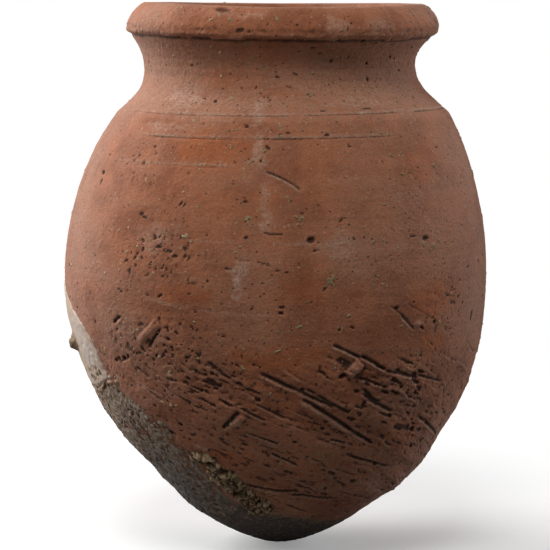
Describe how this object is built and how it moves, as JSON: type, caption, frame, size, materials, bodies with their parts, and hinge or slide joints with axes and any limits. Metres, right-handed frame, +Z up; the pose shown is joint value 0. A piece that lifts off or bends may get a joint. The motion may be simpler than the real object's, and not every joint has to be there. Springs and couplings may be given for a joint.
{
  "type": "olive jar",
  "caption": "Wide-mouthed terracotta storage jar for olives, with a rolled rim, short neck, egg-shaped body, knife-scraped pointed base and lime crusts.",
  "frame": {"origin": "the tip of the rounded base, on the jar's axis: the middle of the jar at its lowest point", "axes": "+Z up along the jar's axis, out of the mouth; -Y towards the side that the picture shows; +X to the right in that view"},
  "size_m": [0.2108, 0.21, 0.27],
  "materials": {
    "rim_clay": "unglazed fired clay, wiped smooth, pinkish and slightly sandy",
    "neck_clay": "unglazed fired clay, fine wheel striations, dirt in the hollow under the rim",
    "shoulder_clay": "unglazed orange-red fired clay, matt, with scored lines, fine pits and pale salt streaks",
    "belly_clay": "unglazed orange-red fired clay, matt, with chaff pits, scratches and pale salt patches",
    "lower_clay": "unglazed fired clay scraped with a knife, rough and gritty, with cuts and dragged burrs",
    "cone_clay": "unglazed fired clay, scraped, gritty and stained grey-brown",
    "base_clay": "unglazed fired clay stained dark grey-brown, rough",
    "white_lime": "thin chalky white lime skin with a crisp edge",
    "grey_lime": "thin grey-beige lime and soil skin, speckled, wearing away at its edge",
    "brown_lime": "small rough brown-grey lime lump",
    "sandy_crust": "coarse crust of sand grains and lime, greenish in places"
  },
  "bodies": {
    "root": {"rolled_rim": "rim_clay", "neck_collar": "neck_clay", "shoulder": "shoulder_clay", "belly": "belly_clay", "lower_body": "lower_clay", "base_cone": "cone_clay", "base_plug": "base_clay", "lime_patch": "white_lime", "lime_skirt": "grey_lime", "lime_lump": "brown_lime", "sand_crust": "sandy_crust"}
  },
  "joints": []
}
